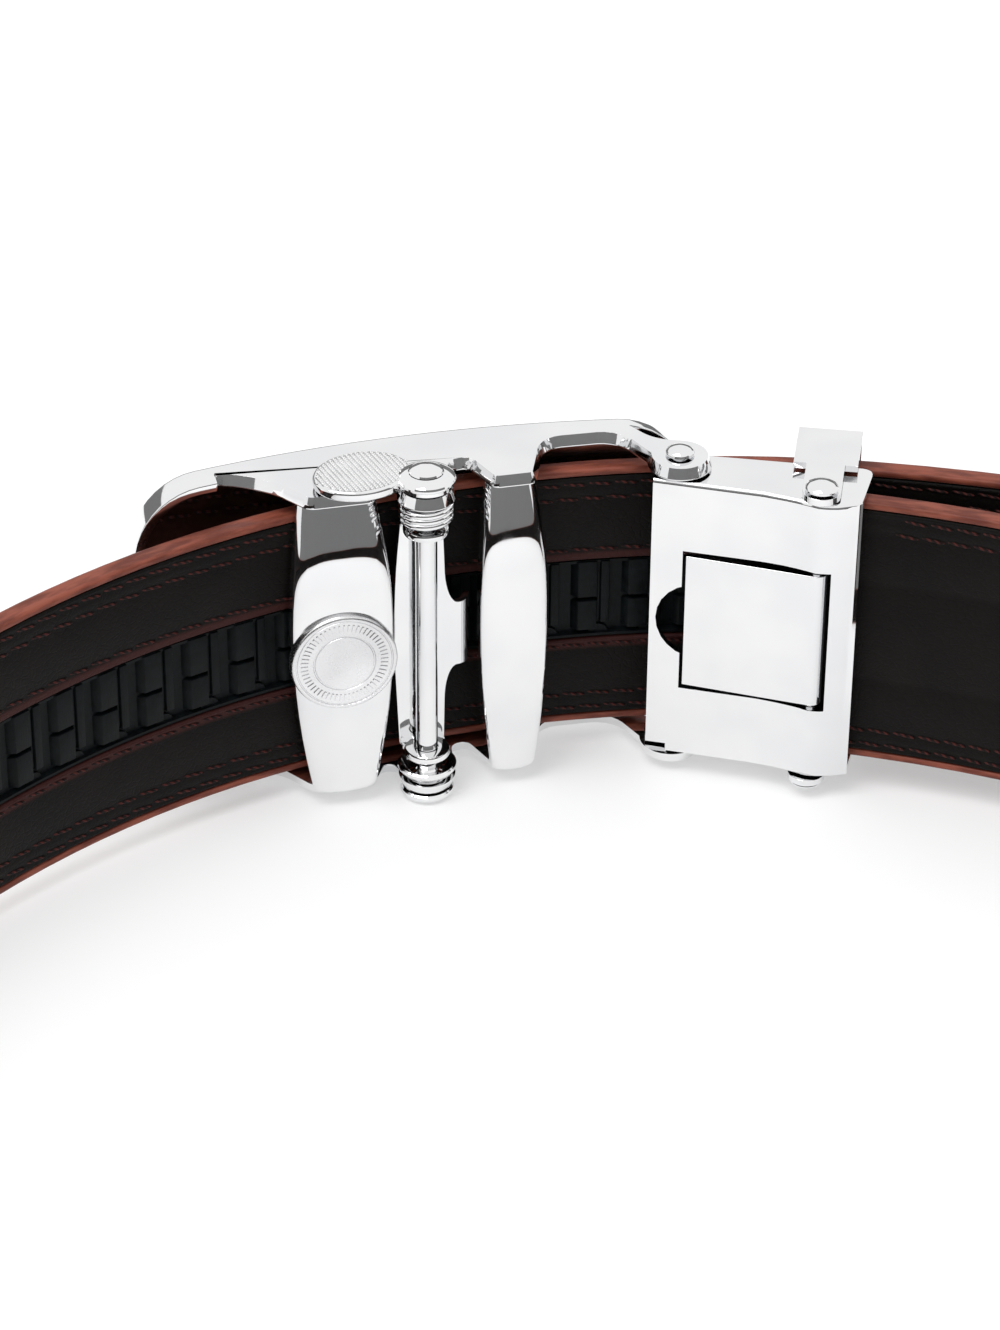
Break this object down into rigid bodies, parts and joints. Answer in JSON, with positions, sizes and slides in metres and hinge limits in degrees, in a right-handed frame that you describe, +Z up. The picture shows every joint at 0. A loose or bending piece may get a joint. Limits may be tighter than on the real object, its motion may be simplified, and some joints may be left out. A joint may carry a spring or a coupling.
{
  "type": "ratchet belt",
  "caption": "Leather waist belt closed in a loop, with a sliding ratchet buckle, a pawl under its plate, a release lever and a hinged clamp for the strap's end.",
  "frame": {"origin": "middle of the belt's box, on the surface that the belt stands on", "axes": "+X along the buckle to the right in the picture, +Y out of the buckle's front, +Z up across the strap's width"},
  "size_m": [0.2648, 0.3056, 0.0446],
  "materials": {
    "buckle_chrome": "bright plated, light handling marks",
    "spring_steel": "bright plated steel",
    "strap_leather": "smooth brown, stitched, turned edges",
    "strap_lining": "dark, fine grain",
    "track_nylon": "moulded, satin"
  },
  "bodies": {
    "belt": {"buckle_frame": "buckle_chrome", "medallion": "buckle_chrome", "pivot_pin": "buckle_chrome", "pawl_spring": "spring_steel", "strap_leather": "strap_leather", "strap_lining": "strap_lining", "ratchet_track": "track_nylon", "hinge_rivet_top": "buckle_chrome", "hinge_rivet_bottom": "buckle_chrome", "clamp_housing": "buckle_chrome", "clamp_pin": "buckle_chrome", "tail_keeper": "buckle_chrome"},
    "pawl_and_lever": {"pawl": "spring_steel", "release_lever": "buckle_chrome"},
    "flap": {"clamp_flap": "buckle_chrome"}
  },
  "joints": [
    {"name": "pawl_release", "type": "hinge", "parent": "belt", "child": "pawl_and_lever", "pos_m": [-0.00773, 0.14018, 0], "axis": [0, 0, 1], "range_deg": [-12, 0], "stiffness_Nm_per_rad": 0.05, "springref_deg": 22.92},
    {"name": "clamp_flap_lift", "type": "hinge", "parent": "belt", "child": "flap", "pos_m": [0.03602, 0.13077, 0], "axis": [0, 0, 1], "range_deg": [0, 80]}
  ]
}
